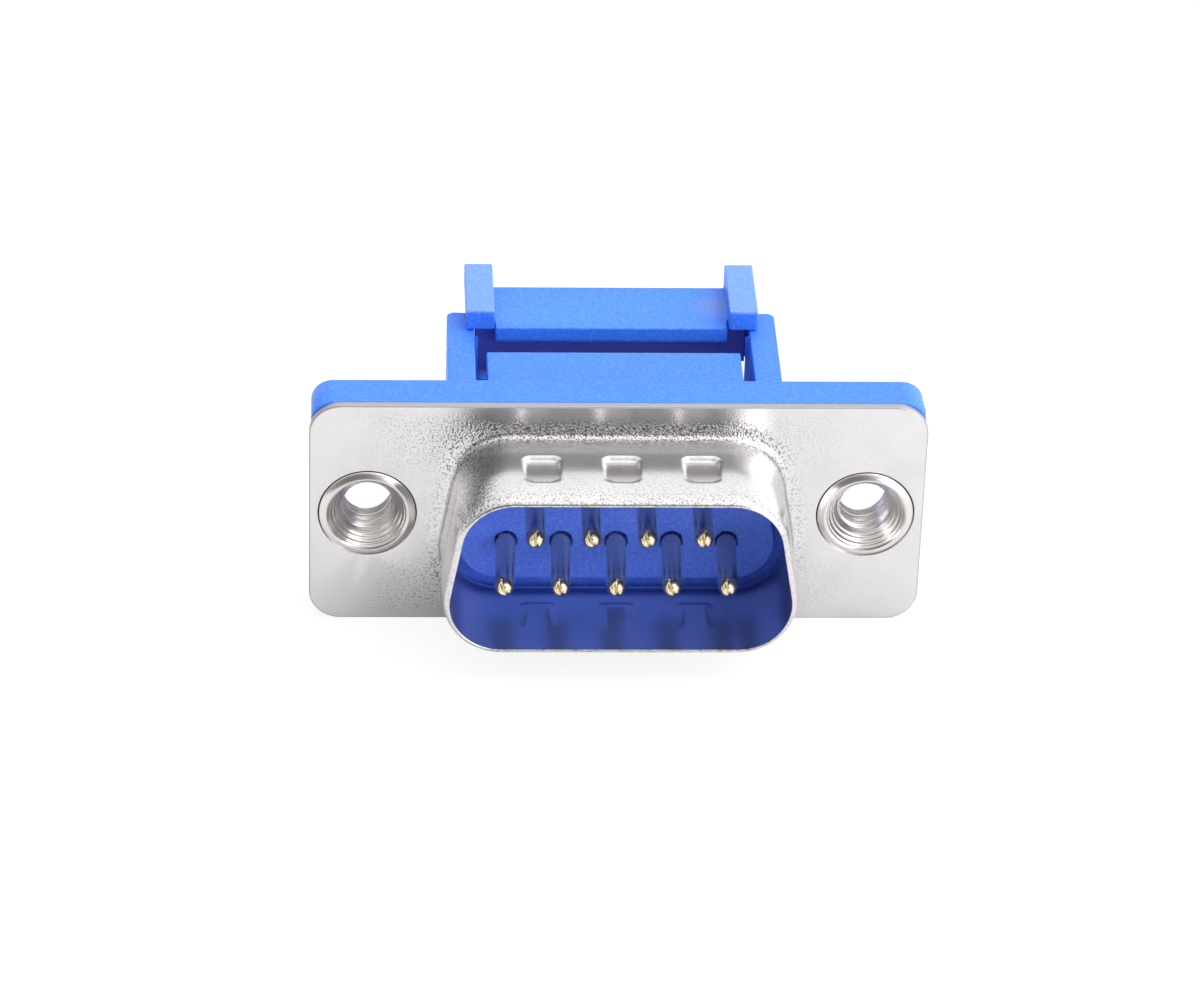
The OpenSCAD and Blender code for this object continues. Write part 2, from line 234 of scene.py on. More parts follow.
@dataclass(frozen=True)
class NickelPlate:
    """Satin nickel plated on drawn steel: a warm grey mirror, blurred by a fine skin.

    Where the sheet was bent or pressed its skin is coarser and dark pits open in it, so that
    reflections there break up into mottling. The attribute "worked" says how much, from 0 on the
    flat to 1 on a bend. It is raised at the D's corners, more at the left than at the right, and
    that extra darkness at the left is painted shade. The attribute "sheared" is 1 on a cut edge,
    whose torn steel takes the plate dull and dark. A swaged rivet has fine rings round its axis,
    which break a highlight into lines. Pits and rings are drawn a little coarser than they are,
    so that they show.
    """

    name: str
    light: str = "#E1DFE2"
    dark: str = "#D3D0D4"
    cut: str = "#B4B2B8"
    # Colour of the dark pits, also painted shade at the D's left corners.
    pits_and_shade: str = "#5E5B62"
    rough_flat: float = 0.26
    rough_worked: float = 0.16
    rough_cut: float = 0.5
    cloud_mm: float = 2.2
    cloud_share: float = 0.55
    skin_mm: float = 0.35
    skin_height_mm: float = 0.0012
    peel_mm: float = 0.11
    peel_height_mm: float = 0.03
    pit_span: Pair = (0.52, 0.62)
    pit_share: float = 0.8
    ring_mm: float = 0.13
    ring_height_mm: float = 0.0

    def material(self) -> bpy.types.Material:
        """Builds the plate's material.

        Returns:
            The material.
        """
        made, tree = blank_material(self.name)
        worked = add_node(tree, "ShaderNodeAttribute", {"attribute_name": "worked"}).outputs["Fac"]
        sheared = add_node(tree, "ShaderNodeAttribute", {"attribute_name": "sheared"}).outputs["Fac"]
        peel = grain(tree, self.peel_mm, 1.0)
        plate = overlay(tree, linear(self.light), self.dark, grain(tree, self.cloud_mm, 3.0),
                        (0.3, 0.75), (0.0, self.cloud_share))
        deep = add_node(tree, "ShaderNodeMapRange", {"clamp": True}, {
            "Value": peel, "From Min": self.pit_span[0], "From Max": self.pit_span[1],
            "To Max": self.pit_share})
        pits = add_node(tree, "ShaderNodeMath", {"operation": "MULTIPLY"}, {
            0: worked, 1: deep.outputs["Result"]})
        plate = overlay(tree, plate, self.pits_and_shade, pits.outputs["Value"])
        plate = overlay(tree, plate, self.cut, sheared)
        rolled = add_node(tree, "ShaderNodeMapRange", {"clamp": True}, {
            "Value": worked, "To Min": self.rough_flat, "To Max": self.rough_worked})
        rough = add_node(tree, "ShaderNodeMath", {"operation": "MULTIPLY_ADD"}, {
            0: sheared, 1: self.rough_cut - self.rough_flat, 2: rolled.outputs["Result"]})
        fine = add_node(tree, "ShaderNodeBump", {}, {
            "Height": grain(tree, self.skin_mm, 1.0), "Distance": self.skin_height_mm * MM,
            "Strength": 1.0})
        coarse = add_node(tree, "ShaderNodeBump", {}, {
            "Height": peel, "Distance": self.peel_height_mm * MM, "Strength": worked,
            "Normal": fine.outputs["Normal"]})
        rings = add_node(tree, "ShaderNodeBump", {}, {
            "Height": grain(tree, self.ring_mm, 1.0, (40.0, 1.0, 40.0)),
            "Distance": self.ring_height_mm * MM, "Strength": 1.0,
            "Normal": coarse.outputs["Normal"]})
        shader = add_node(tree, "ShaderNodeBsdfPrincipled", {}, {
            "Base Color": plate, "Metallic": 1.0, "Roughness": rough.outputs["Value"],
            "Normal": rings.outputs["Normal"]})
        add_node(tree, "ShaderNodeOutputMaterial", {}, {"Surface": shader.outputs["BSDF"]})
        return made


@dataclass(frozen=True)
class MouldedPBT:
    """Glass-filled PBT from a spark-eroded mould: saturated blue with a fine matt grain.

    The grain blurs the gloss, and the glass fibres lighten the colour in faint streaks. Both are
    drawn coarser than they are, so that they show. The faces above a given height are painted
    paler in speckles, a painted highlight for the brighter light on the top faces, and a scuff on
    the bar is greyer. Inside the shell the blue is painted deeper and more violet, as painted
    shade, and the comb's recess is painted a greyer violet, as painted shade.
    """

    name: str
    colour: str = "#3A82F6"
    pale: str = "#8DBBF9"
    # A deeper, more violet blue painted on the face inside the shell: painted shade.
    shade_tint: str = "#4D74F9"
    # A paler blue painted in speckles on the top faces: painted highlight.
    lit_top: str = "#79A2F6"
    scuff: str = "#8698BC"
    # A greyer violet painted in the comb's recess: painted shade.
    recess_shade: str = "#7478C4"
    # Where the painted shade inside the shell ends: along Y, and in height either way.
    shade_tint_y: float = 0.6
    shade_tint_z: float = 4.4
    # Height above which the painted highlight on the top faces lies.
    lit_top_z: float = FAR
    # Where the painted shade in the comb's recess lies, along Y.
    recess_y: Pair = (FAR, FAR)
    scuff_at: Triple = (5.4, 11.9, 5.1)
    scuff_mm: float = 1.4
    scuff_share: float = 0.4
    shine: float = 0.36
    rough: float = 0.42
    ior: float = 1.53
    grain_mm: float = 0.09
    grain_height_mm: float = 0.0022
    fibre_mm: float = 0.16
    fibre_share: float = 0.4

    def material(self) -> bpy.types.Material:
        """Builds the moulding's material.

        Returns:
            The material.
        """
        made, tree = blank_material(self.name)
        skin = grain(tree, self.grain_mm, 2.0)
        where = add_node(tree, "ShaderNodeTexCoord").outputs["Object"]
        axes = add_node(tree, "ShaderNodeSeparateXYZ", {}, {"Vector": where}).outputs
        height = add_node(tree, "ShaderNodeMath", {"operation": "ABSOLUTE"}, {0: axes["Z"]})
        # The insulator's face inside the shell is painted a deeper violet blue: painted shade.
        middle = within(tree, height.outputs["Value"], -FAR, self.shade_tint_z, 0.1)
        inside = add_node(tree, "ShaderNodeMath", {"operation": "MULTIPLY"}, {
            0: middle, 1: within(tree, axes["Y"], -FAR, self.shade_tint_y, 0.3)})
        colour = overlay(tree, linear(self.colour), self.shade_tint, inside.outputs["Value"])
        fibres = grain(tree, self.fibre_mm, 3.0, (1.2, 1.0, 1.0))
        colour = overlay(tree, colour, self.pale, fibres, (0.45, 0.85), (0.0, self.fibre_share))
        # The faces above a given height are painted paler in speckles: painted highlight.
        speckle = add_node(tree, "ShaderNodeMapRange", {"clamp": True}, {
            "Value": grain(tree, self.grain_mm * 2, 1.0), "From Min": 0.3, "From Max": 0.65,
            "To Min": 0.45})
        lit_top_mask = add_node(tree, "ShaderNodeMath", {"operation": "MULTIPLY"}, {
            0: within(tree, axes["Z"], self.lit_top_z, 2 * FAR, 0.06), 1: speckle.outputs["Result"]})
        colour = overlay(tree, colour, self.lit_top, lit_top_mask.outputs["Value"])
        # The comb's recess is painted a greyer violet: painted shade.
        in_recess = add_node(tree, "ShaderNodeMath", {"operation": "MULTIPLY"}, {
            0: within(tree, axes["Y"], *self.recess_y, 0.05), 1: middle})
        colour = overlay(tree, colour, self.recess_shade, in_recess.outputs["Value"])
        to_scuff = add_node(tree, "ShaderNodeVectorMath", {"operation": "DISTANCE"}, {
            0: where, 1: [c * MM for c in self.scuff_at]})
        colour = overlay(tree, colour, self.scuff, to_scuff.outputs["Value"],
                         (self.scuff_mm * MM, 0.3 * self.scuff_mm * MM), (0.0, self.scuff_share))
        rough = add_node(tree, "ShaderNodeMapRange", {"clamp": True}, {
            "Value": skin, "From Min": 0.3, "From Max": 0.7, "To Min": self.rough - 0.05,
            "To Max": self.rough + 0.08})
        bump = add_node(tree, "ShaderNodeBump", {}, {
            "Height": skin, "Distance": self.grain_height_mm * MM, "Strength": 1.0})
        shader = add_node(tree, "ShaderNodeBsdfPrincipled", {}, {
            "Base Color": colour, "Roughness": rough.outputs["Result"], "IOR": self.ior,
            "Specular IOR Level": self.shine, "Normal": bump.outputs["Normal"]})
        add_node(tree, "ShaderNodeOutputMaterial", {}, {"Surface": shader.outputs["BSDF"]})
        return made


@dataclass(frozen=True)
class GoldFlash:
    """Gold flashed on the nose of a tin-plated bronze pin: a warm tip on a cool grey shaft.

    Rolling leaves fine lines along the pin, so the gloss is streaked that way. They are drawn
    coarser than they are, so that they show. The flash is thinner in patches, and duller there.
    """

    name: str
    gold: str = "#F3E8CF"
    thin: str = "#E2D2AE"
    tin: str = "#DCCFC0"
    gold_end_y: float = -4.3
    gold_fade_mm: float = 0.25
    patch_mm: float = 0.4
    rough: float = 0.17
    line_mm: float = 0.05
    line_height_mm: float = 0.0008

    def material(self) -> bpy.types.Material:
        """Builds the plated alloy's material.

        Returns:
            The material.
        """
        made, tree = blank_material(self.name)
        lines = grain(tree, self.line_mm, 2.0, (1.0, 12.0, 1.0))
        flash = overlay(tree, linear(self.gold), self.thin, grain(tree, self.patch_mm, 2.0),
                        (0.35, 0.7))
        where = add_node(tree, "ShaderNodeTexCoord").outputs["Object"]
        along = add_node(tree, "ShaderNodeSeparateXYZ", {}, {"Vector": where}).outputs["Y"]
        colour = overlay(tree, flash, self.tin, along,
                         (self.gold_end_y * MM, (self.gold_end_y + self.gold_fade_mm) * MM))
        rough = add_node(tree, "ShaderNodeMapRange", {"clamp": True}, {
            "Value": lines, "From Min": 0.3, "From Max": 0.7, "To Min": self.rough - 0.06,
            "To Max": self.rough + 0.08})
        bump = add_node(tree, "ShaderNodeBump", {}, {
            "Height": lines, "Distance": self.line_height_mm * MM, "Strength": 0.7})
        shader = add_node(tree, "ShaderNodeBsdfPrincipled", {}, {
            "Base Color": colour, "Metallic": 1.0, "Roughness": rough.outputs["Result"],
            "Normal": bump.outputs["Normal"]})
        add_node(tree, "ShaderNodeOutputMaterial", {}, {"Surface": shader.outputs["BSDF"]})
        return made


# ---------------------------------------------------------------- mesh helpers


def arc(cx: float, cy: float, r: float, start: float, end: float, steps: int) -> list[Pair]:
    """Points of an arc, both ends included.

    Args:
        cx: First coordinate of the centre.
        cy: Second coordinate of the centre.
        r: Radius.
        start: First angle in degrees.
        end: Last angle in degrees.
        steps: Number of chords.

    Returns:
        The points in order.
    """
    angles = np.radians(np.linspace(start, end, steps + 1))
    return [(cx + r * math.cos(a), cy + r * math.sin(a)) for a in angles]


def runs(stops: Sequence[Pair], step: float) -> list[Pair]:
    """Points along a polyline, no further apart than a step.

    Args:
        stops: The polyline's corners.
        step: Largest distance between two points.

    Returns:
        The corners with evenly spaced points between them.
    """
    made = [stops[0]]
    for (x0, y0), (x1, y1) in zip(stops, stops[1:]):
        count = max(1, math.ceil(math.hypot(x1 - x0, y1 - y0) / step))
        made += [(x0 + (x1 - x0) * k / count, y0 + (y1 - y0) * k / count) for k in range(1, count + 1)]
    return made


def grid_faces(bm: bmesh.types.BMesh, rows: Sequence[Ring], close_rows: bool) -> None:
    """Joins rows of vertices with quads, each row closed on itself.

    Args:
        bm: The mesh to add to.
        rows: Rows with the same number of vertices.
        close_rows: Whether the last row joins the first.
    """
    count = len(rows)
    for i in range(count if close_rows else count - 1):
        low, high = rows[i], rows[(i + 1) % count]
        for j in range(len(low)):
            k = (j + 1) % len(low)
            bm.faces.new((low[j], low[k], high[k], high[j]))


def loop_edges(bm: bmesh.types.BMesh, loop: Ring) -> list[bmesh.types.BMEdge]:
    """The edges of a closed loop, made where they are missing.

    Args:
        bm: The mesh that the loop is in.
        loop: The loop's vertices in order.

    Returns:
        The edges in order.
    """
    made = []
    for first, second in zip(loop, [*loop[1:], loop[0]]):
        made.append(bm.edges.get((first, second)) or bm.edges.new((first, second)))
    return made


def piece(
    name: str, bm: bmesh.types.BMesh, material: bpy.types.Material, body: Body,
    replaced: Iterable[str] = (), sharp_degrees: float = 40.0,
) -> bpy.types.Object:
    """Turns a mesh in millimetres to a finished piece that rides on a body.

    Args:
        name: Name of the piece.
        bm: The mesh. It is freed.
        material: The piece's finish.
        body: Body that the piece rides on.
        replaced: CAD nodes that the piece stands for.
        sharp_degrees: Edges that turn more than this stay crisp.

    Returns:
        The piece.
    """
    bmesh.ops.recalc_face_normals(bm, faces=bm.faces[:])
    bmesh.ops.scale(bm, vec=(MM, MM, MM), verts=bm.verts[:])
    mesh = bpy.data.meshes.new(name)
    bm.to_mesh(mesh)
    bm.free()
    mesh.materials.append(material)
    mesh.polygons.foreach_set("use_smooth", [True] * len(mesh.polygons))
    mesh.set_sharp_from_angle(angle=math.radians(sharp_degrees))
    made = bpy.data.objects.new(name, mesh)
    bpy.context.scene.collection.objects.link(made)
    weighted = made.modifiers.new("even_shading", "WEIGHTED_NORMAL")
    weighted.keep_sharp = True
    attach(made, body.value)
    if replaced:
        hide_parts(*replaced)
    LOG.info("%s: %d faces", name, len(mesh.polygons))
    return made


def roomy(edge: bmesh.types.BMEdge, room: float) -> bool:
    """Whether an edge's two faces reach further than a distance before their next crisp edge.

    Args:
        edge: An edge between two faces.
        room: The distance needed.

    Returns:
        True where a radius of half the distance fits on both faces.
    """
    middle = (edge.verts[0].co + edge.verts[1].co) / 2
    near = set(edge.verts[0].link_edges) | set(edge.verts[1].link_edges)
    for face in edge.link_faces:
        others = [e for e in face.edges if e not in near and e.tag]
        if not others:
            continue
        a = np.array([e.verts[0].co for e in others])
        b = np.array([e.verts[1].co for e in others])
        span = b - a
        to_point = np.array(middle) - a
        share = np.clip((to_point * span).sum(1) / np.maximum((span * span).sum(1), TINY**2), 0, 1)
        if np.linalg.norm(to_point - share[:, None] * span, axis=1).min() < room:
            return False
    return True


def rounded_form(node: str, radius: float, weld: float = 0.001) -> bmesh.types.BMesh:
    """A solid's own form in millimetres with the small edge radii that a mould leaves.

    Args:
        node: The CAD node whose form it has.
        radius: Edge radius.
        weld: Vertices nearer than this become one.

    Returns:
        The new mesh.
    """
    bm = bmesh.new()
    bm.from_mesh(bpy.data.objects[node].data)
    bmesh.ops.scale(bm, vec=(1 / MM, 1 / MM, 1 / MM), verts=bm.verts[:])
    bmesh.ops.remove_doubles(bm, verts=bm.verts[:], dist=weld)
    flat, crisp = math.radians(0.5), math.radians(25)
    bmesh.ops.dissolve_limit(bm, angle_limit=flat, verts=bm.verts[:], edges=bm.edges[:])
    for edge in bm.edges:
        edge.tag = edge.calc_face_angle(0) > crisp
    free = [e for e in bm.edges if e.tag and roomy(e, 2.2 * radius)]
    bmesh.ops.bevel(bm, geom=free, offset=radius, offset_type="OFFSET", segments=2, profile=0.5,
                    affect="EDGES", clamp_overlap=False, harden_normals=False)
    return bm


@dataclass(frozen=True)
class Flash:
    """A thin ragged fin of moulding flash along an edge.

    Start and end are the edge's ends, and out is the way in which the fin stands. Reach is how
    far its highest tooth may stand out, and evenness is the height of its lowest notch as a
    share of that. Tooth is the distance between two teeth.
    """

    start: Triple
    end: Triple
    out: Triple
    reach: float
    seed: int
    evenness: float = 0.35
    thick: float = 0.025
    tooth: float = 0.09

    def add_to(self, bm: bmesh.types.BMesh) -> None:
        """Adds the fin to a moulding.

        Args:
            bm: The moulding's mesh, in millimetres.
        """
        random = np.random.default_rng(self.seed)
        a, b, away = Vector(self.start), Vector(self.end), Vector(self.out).normalized()
        side = (b - a).cross(away).normalized() * self.thick
        count = max(4, round((b - a).length / self.tooth))
        height = self.reach * (self.evenness + (1 - self.evenness) * random.random(count + 1))
        height[[0, -1]] *= self.evenness
        left, right, top = [], [], []
        for k in range(count + 1):
            root = a.lerp(b, k / count) - away * self.thick
            left.append(bm.verts.new(root + side))
            right.append(bm.verts.new(root - side))
            top.append(bm.verts.new(root + away * (self.thick + float(height[k]))))
        for k in range(count):
            bm.faces.new((left[k], left[k + 1], top[k + 1], top[k]))
            bm.faces.new((right[k + 1], right[k], top[k], top[k + 1]))
            bm.faces.new((left[k + 1], left[k], right[k], right[k + 1]))
        bm.faces.new((left[0], top[0], right[0]))
        bm.faces.new((right[-1], top[-1], left[-1]))


# ---------------------------------------------------------------- the drawn shell


@dataclass
class DrawnShell:
    """The plated steel shell: flange, D shroud with a bent root, rounded rim and dimples.

    The D is swept round the centres of its corners, so a place on its wall is a distance from
    them. The sheet dips beside the root, over draw_in, where the punch drew it in.
    """

    finish: bpy.types.Material
    sheet: float = 0.4
    flange_corner: float = 1.6
    edge_roll: float = 0.09
    edge_break: float = 0.04
    edge_flat: float = 0.1
    # The D and its root
    d_width: float = 16.92
    d_height: float = 8.36
    d_corner: float = 2.6
    d_lean: float = math.radians(10)
    root: float = 0.4
    draw_in: float = 0.95
    draw_tilt: float = math.radians(10)
    # The rim: length of its rounding, and the radius that is left at its tip
    rim_length: float = 0.75
    rim_tip: float = 0.05
    # How far the wall is drawn in at its neck, and out of line at the rim
    pinch: float = 0.1
    pinch_y: float = -1.7
    pinch_end_y: float = -3.7
    crown: float = 0.05
    # The rivet holes, and the points of their front edge's rounding: outwards and back
    hole_pitch: float = 24.99
    hole_front: float = 2.46
    hole_back: float = 1.93
    hole_rounding: tuple[Pair, ...] = ((0.1, 0.0), (0.03, 0.012), (0.0, 0.05))
    # The dimples: pressed by dimple_depth outside and, softer, by dimple_soft_depth inside
    dimple_pitch: float = 3.94
    dimple_start: float = 1.7
    dimple_width: float = 2.01
    dimple_length: float = 2.65
    dimple_depth: float = 0.22
    dimple_soft_depth: float = 0.18
    dimple_slope: float = 0.28
    dimple_side_slope: float = 0.26
    dimple_step: float = 0.14
    dimple_corner: float = 0.5
    dimple_end_share: float = 0.18
    # How much the sheet was worked, from 0 to 1, and how far from an end that reaches
    wear_beside_root: float = 0.15
    wear_gain: float = 1.6
    wear_of_wall: float = 0.1
    wear_of_ends: float = 0.7
    wear_of_rim: float = 0.6
    wear_inside: float = 0.05
    wear_of_holes: float = 0.1
    root_fade: float = 0.35
    rim_fade: float = 0.8
    side_ease: float = 0.5
    # Extra pits at the D's outer corners, more at the left: the left's darker pitting is painted shade.
    corner_from: float = 0.3
    left_corner_pits_and_shade: float = 1.0
    right_corner_pits_and_shade: float = 0.3
    # Distances between vertices along the walls, and along the plain long ones
    step: float = 0.07
    coarse_step: float = 0.25
    flange_width: float = field(init=False)
    flange_height: float = field(init=False)
    rim_y: float = field(init=False)

    def __post_init__(self) -> None:
        """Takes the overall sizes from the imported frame."""
        low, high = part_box("front_shell")
        self.flange_width = (high.x - low.x) / MM
        self.flange_height = (high.z - low.z) / MM
        self.rim_y = low.y / MM

    def corner_centres(self) -> list[Pair]:
        """Places the D's corner arcs.

        Returns:
            Their centres, anticlockwise from the lower right one.
        """
        low_x = self.d_width / 2 - self.d_corner
        half_rise = self.d_height / 2 - self.d_corner
        top_x = low_x - 2 * half_rise * math.tan(self.d_lean)
        return [(low_x, -half_rise), (top_x, half_rise), (-top_x, half_rise), (-low_x, -half_rise)]

    def stations(self) -> list[tuple[float, float, float, float]]:
        """Places round the D, closer together where the dimples are.

        Returns:
            For each, a point of the corner centres' outline and the outward direction.
        """
        centres = self.corner_centres()
        lean = math.degrees(self.d_lean)
        spans = [(-90, lean), (lean, 90), (90, 180 - lean), (180 - lean, 270)]
        made = []
        for i, (start, end) in enumerate(spans):
            for a in np.radians(np.linspace(start, end, 25)):
                made.append((*centres[i], math.cos(a), math.sin(a)))
            ahead = centres[(i + 1) % 4]
            out = (math.cos(math.radians(end)), math.sin(math.radians(end)))
            between = runs([centres[i], ahead], self.coarse_step if i % 2 == 0 else self.step)[1:-1]
            made += [(x, z, *out) for x, z in between]
        return made

    def wall_section(self) -> list[Triple]:
        """The drawn wall's section from the flange's front to its back, round the rim.

        Returns:
            Distance from the corner centres, place along Y, and how much the sheet was worked.
        """
        inside, lip = self.d_corner, self.rim_tip
        outside = inside + self.sheet
        foot = outside + self.root * (1 - math.sin(self.draw_tilt))
        dip = 0.5 * self.draw_in * math.tan(self.draw_tilt)
        top = -dip + self.root * (1 - math.cos(self.draw_tilt))
        wall = top - self.root
        front = [(foot + self.draw_in * k / 8, -dip * (1 - k / 8) ** 2) for k in range(8, 0, -1)]
        tilt = math.degrees(self.draw_tilt)
        bend = arc(outside + self.root, wall, self.root, 90 + tilt, 180, 12)
        rim_start = self.rim_y + self.rim_length
        outer = [(outside + self.bow(y, wall), y)
                 for _, y in runs([(outside, wall), (outside, rim_start)], self.step)[1:]]
        reach = self.sheet - lip - self.crown
        rim = [(inside + lip + reach * math.cos(a), rim_start - self.rim_length * math.sin(a))
               for a in np.radians(np.linspace(0, 90, 13))[1:]]
        tip = arc(inside + lip, self.rim_y + lip, lip, -90, -180, 4)[1:]
        inner = runs([(inside, self.rim_y + lip), (inside, wall)], 1.5 * self.step)[1:]
        back_bend = arc(outside + self.root, wall, self.root + self.sheet, 180, 90, 8)[1:]
        back = [(foot + self.draw_in, self.sheet)]
        beside = self.wear_beside_root
        made = [(r, y, beside + (1 - beside) * min(1.0, -self.wear_gain * y / dip)) for r, y in front]
        made += [(r, y, 1.0) for r, y in bend]
        made += [(r, y, self.wear_of(y)) for r, y in outer]
        made += [(r, y, self.wear_of_rim) for r, y in rim + tip]
        made += [(r, y, self.wear_inside) for r, y in inner + back_bend + back]
        return made

    def bow(self, y: float, root_y: float) -> float:
        """How far the outer wall stands out from a straight one, in at its neck and at its rim.

        Args:
            y: Place along the wall.
            root_y: Where the wall leaves the root's bend.

        Returns:
            The distance, which is negative where the wall is drawn in.
        """
        if y > self.pinch_y:
            return -self.pinch * (1 - math.cos(math.pi * (root_y - y) / (root_y - self.pinch_y))) / 2
        if y > self.pinch_end_y:
            share = (self.pinch_y - y) / (self.pinch_y - self.pinch_end_y)
            return -self.pinch * (1 + math.cos(math.pi * share)) / 2
        rim_start = self.rim_y + self.rim_length
        return -self.crown * ((self.pinch_end_y - y) / (self.pinch_end_y - rim_start)) ** 2

    def wear_of(self, y: float) -> float:
        """How much the outer wall was worked: most at its root and its rim.

        Args:
            y: Place along the wall.

        Returns:
            From 0 to 1.
        """
        from_root = math.exp(-abs(y + self.root) / self.root_fade)
        from_rim = math.exp(-abs(y - self.rim_y) / self.rim_fade)
        return self.wear_of_wall + self.wear_of_ends * max(from_root, from_rim)

    def dimple(self, x: float, y: float, crisp: bool) -> float:
        """How far a dimple is pressed in at a place of the upper or lower wall.

        It is deepest near the flange and runs out towards the rim, as a lead-in for the socket.

        Args:
            x: Place along the wall.
            y: Place from the flange towards the rim.
            crisp: Whether the punch side is meant, where the dimple ends in a small step.

        Returns:
            The depth in millimetres.
        """
        from_far = -self.dimple_start - y
        nearest = round(x / self.dimple_pitch)
        to_side = self.dimple_width / 2 - abs(x - nearest * self.dimple_pitch)
        if abs(nearest) > 1 or to_side <= 0 or not 0 < from_far < self.dimple_length:
            return 0.0
        from_near = self.dimple_length - from_far
        softer = 1 if crisp else 2
        far_slope, side_slope = softer * self.dimple_slope, softer * self.dimple_side_slope
        far, side, near = (min(1.0, d / slope) for d, slope in (
            (from_far, far_slope), (to_side, side_slope), (from_near, self.dimple_step)))
        corner = self.dimple_corner
        from_end = min(from_far, from_near)
        if from_end < corner and to_side < corner:
            inset = corner - math.hypot(corner - from_end, corner - to_side)
            side = min(side, max(0.0, inset / side_slope))
        rise = min(far, side, near)
        step = self.dimple_end_share if crisp else 0.0
        run_out = step + (1 - step) * min(1.0, from_near / (self.dimple_length - far_slope))
        depth = self.dimple_depth if crisp else self.dimple_soft_depth
        return depth * rise * rise * (3 - 2 * rise) * run_out

    def build(self) -> bpy.types.Object:
        """Makes the shell.

        Returns:
            The piece.
        """
        bm = bmesh.new()
        worked = bm.verts.layers.float.new("worked")
        sheared = bm.verts.layers.float.new("sheared")
        stations = self.stations()
        rows = []
        for r, y, wear in self.wall_section():
            row = []
            outer = r > self.d_corner + self.sheet / 2
            for cx, cz, dx, dz in stations:
                x, z = cx + r * dx, cz + r * dz
                pressed = 0.0
                if abs(dx) < TINY and r <= self.d_corner + self.sheet + TINY and y < -self.dimple_start:
                    pressed = self.dimple(x, y, outer)
                # Extra pits at the corners, more at the left than at the right: painted shade at the
                # left.
                corner = self.right_corner_pits_and_shade if dx > 0 else self.left_corner_pits_and_shade
                drawn = corner * max(0.0, 2 * abs(dx * dz) - self.corner_from) if outer else 0.0
                vert = bm.verts.new((x, y, z - math.copysign(pressed, dz)))
                vert[worked] = min(1.0, wear * (1 - self.side_ease * dx * dx) + drawn)
                row.append(vert)
            rows.append(row)
        grid_faces(bm, rows, close_rows=False)
        self.add_flange(bm, worked, sheared, rows[0], rows[-1])
        return piece("drawn_shell", bm, self.finish, Body.HOUSING, ["front_shell"])

    def add_flange(
        self, bm: bmesh.types.BMesh, worked: bmesh.types.BMLayerItem, sheared: bmesh.types.BMLayerItem,
        front_ring: Ring, back_ring: Ring,
    ) -> None:
        """Adds the flat flange between the D's root, its own edge and the two rivet holes.

        Args:
            bm: The shell's mesh.
            worked: Layer that says how much the sheet was worked.
            sheared: Layer that is 1 on the cut edge.
            front_ring: The root's outermost ring on the front face.
            back_ring: The root's last ring on the back face.
        """
        edge = self.edge_rows(bm, sheared)
        holes = [self.hole_rows(bm, worked, side) for side in (-1, 1)]
        for face, ring in ((0, front_ring), (-1, back_ring)):
            loops = [edge[face], ring, *[rows[face] for rows in holes]]
            edges = [e for loop in loops for e in loop_edges(bm, loop)]
            bmesh.ops.triangle_fill(bm, use_beauty=True, use_dissolve=False, edges=edges)

    def edge_rows(self, bm: bmesh.types.BMesh, sheared: bmesh.types.BMLayerItem) -> list[Ring]:
        """Adds the flange's cut edge, rolled over in front and broken behind.

        Args:
            bm: The shell's mesh.
            sheared: Layer that is 1 on the cut edge.

        Returns:
            Its rows, from the front face round to the back face.
        """
        w, h, c, roll = self.flange_width / 2, self.flange_height / 2, self.flange_corner, self.edge_roll
        section = [(-roll, 0.0, 0.0), *[(x, y, 1.0) for x, y in arc(-roll, roll, roll, -60, 0, 3)],
                   (0.0, self.sheet - self.edge_break, 1.0), (-self.edge_break, self.sheet, 1.0),
                   (-self.edge_flat, self.sheet, 0.0)]
        rows = []
        for inset, y, torn in section:
            row = []
            for sx, sz, start in ((1, -1, -90), (1, 1, 0), (-1, 1, 90), (-1, -1, 180)):
                for x, z in arc(sx * (w - c), sz * (h - c), c + inset, start, start + 90, 14):
                    vert = bm.verts.new((x, y, z))
                    vert[sheared] = torn
                    row.append(vert)
            rows.append(row)
        grid_faces(bm, rows, close_rows=False)
        return rows

    def hole_rows(
        self, bm: bmesh.types.BMesh, worked: bmesh.types.BMLayerItem, side: int
    ) -> list[Ring]:
        """Adds one countersunk rivet hole.

        Args:
            bm: The shell's mesh.
            worked: Layer that says how much the sheet was worked.
            side: -1 for the left hole, 1 for the right one.

        Returns:
            Its rows, from the front face to the back face.
        """
        section = [(self.hole_front + out, back) for out, back in self.hole_rounding]
        section.append((self.hole_back, self.sheet))
        rows = []
        for r, y in section:
            row = []
            for x, z in arc(side * self.hole_pitch / 2, 0, r, 0, 360, 96)[:-1]:
                vert = bm.verts.new((x, y, z))
                vert[worked] = self.wear_of_holes
                row.append(vert)
            rows.append(row)
        grid_faces(bm, rows, close_rows=False)
        return rows


# ---------------------------------------------------------------- rivets, contacts, mouldings


